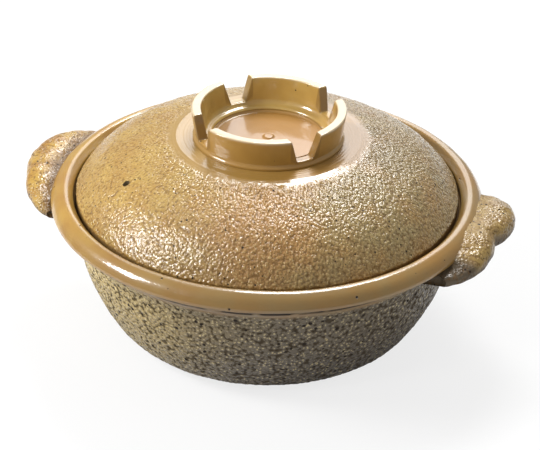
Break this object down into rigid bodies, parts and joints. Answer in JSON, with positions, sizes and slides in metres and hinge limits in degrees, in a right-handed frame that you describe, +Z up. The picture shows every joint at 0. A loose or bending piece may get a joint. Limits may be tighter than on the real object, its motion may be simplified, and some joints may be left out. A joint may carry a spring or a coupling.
{
  "type": "lidded clay cooking pot",
  "caption": "Round glazed clay pot with lobed ears at the rim and a domed lid that lifts off by a notched ring knob with a steam vent beside it.",
  "frame": {"origin": "centre of the flat base, on the surface that the pot stands on", "axes": "+Z up along the axis of the bowl, +X out through the right ear, -Y to the front"},
  "size_m": [0.309, 0.266, 0.1443],
  "materials": {
    "bowl_clay": "sandy rough-glazed olive-brown stoneware with a smooth glossy ochre rim band",
    "ear_glaze": "lumpy hand-pressed clay under a crawled glossy ochre glaze",
    "lid_glaze": "glossy crawled ochre glaze with a red-brown flush",
    "knob_glaze": "smooth glossy caramel glaze over turned clay"
  },
  "bodies": {
    "pot": {"pot_bowl": "bowl_clay", "left_ear": "ear_glaze", "right_ear": "ear_glaze"},
    "lid": {"lid_dome": "lid_glaze", "knob_ring": "knob_glaze"}
  },
  "joints": [
    {"name": "lid_lift", "type": "slide", "parent": "pot", "child": "lid", "axis": [0, 0, 1], "range_m": [0, 0.12]}
  ]
}
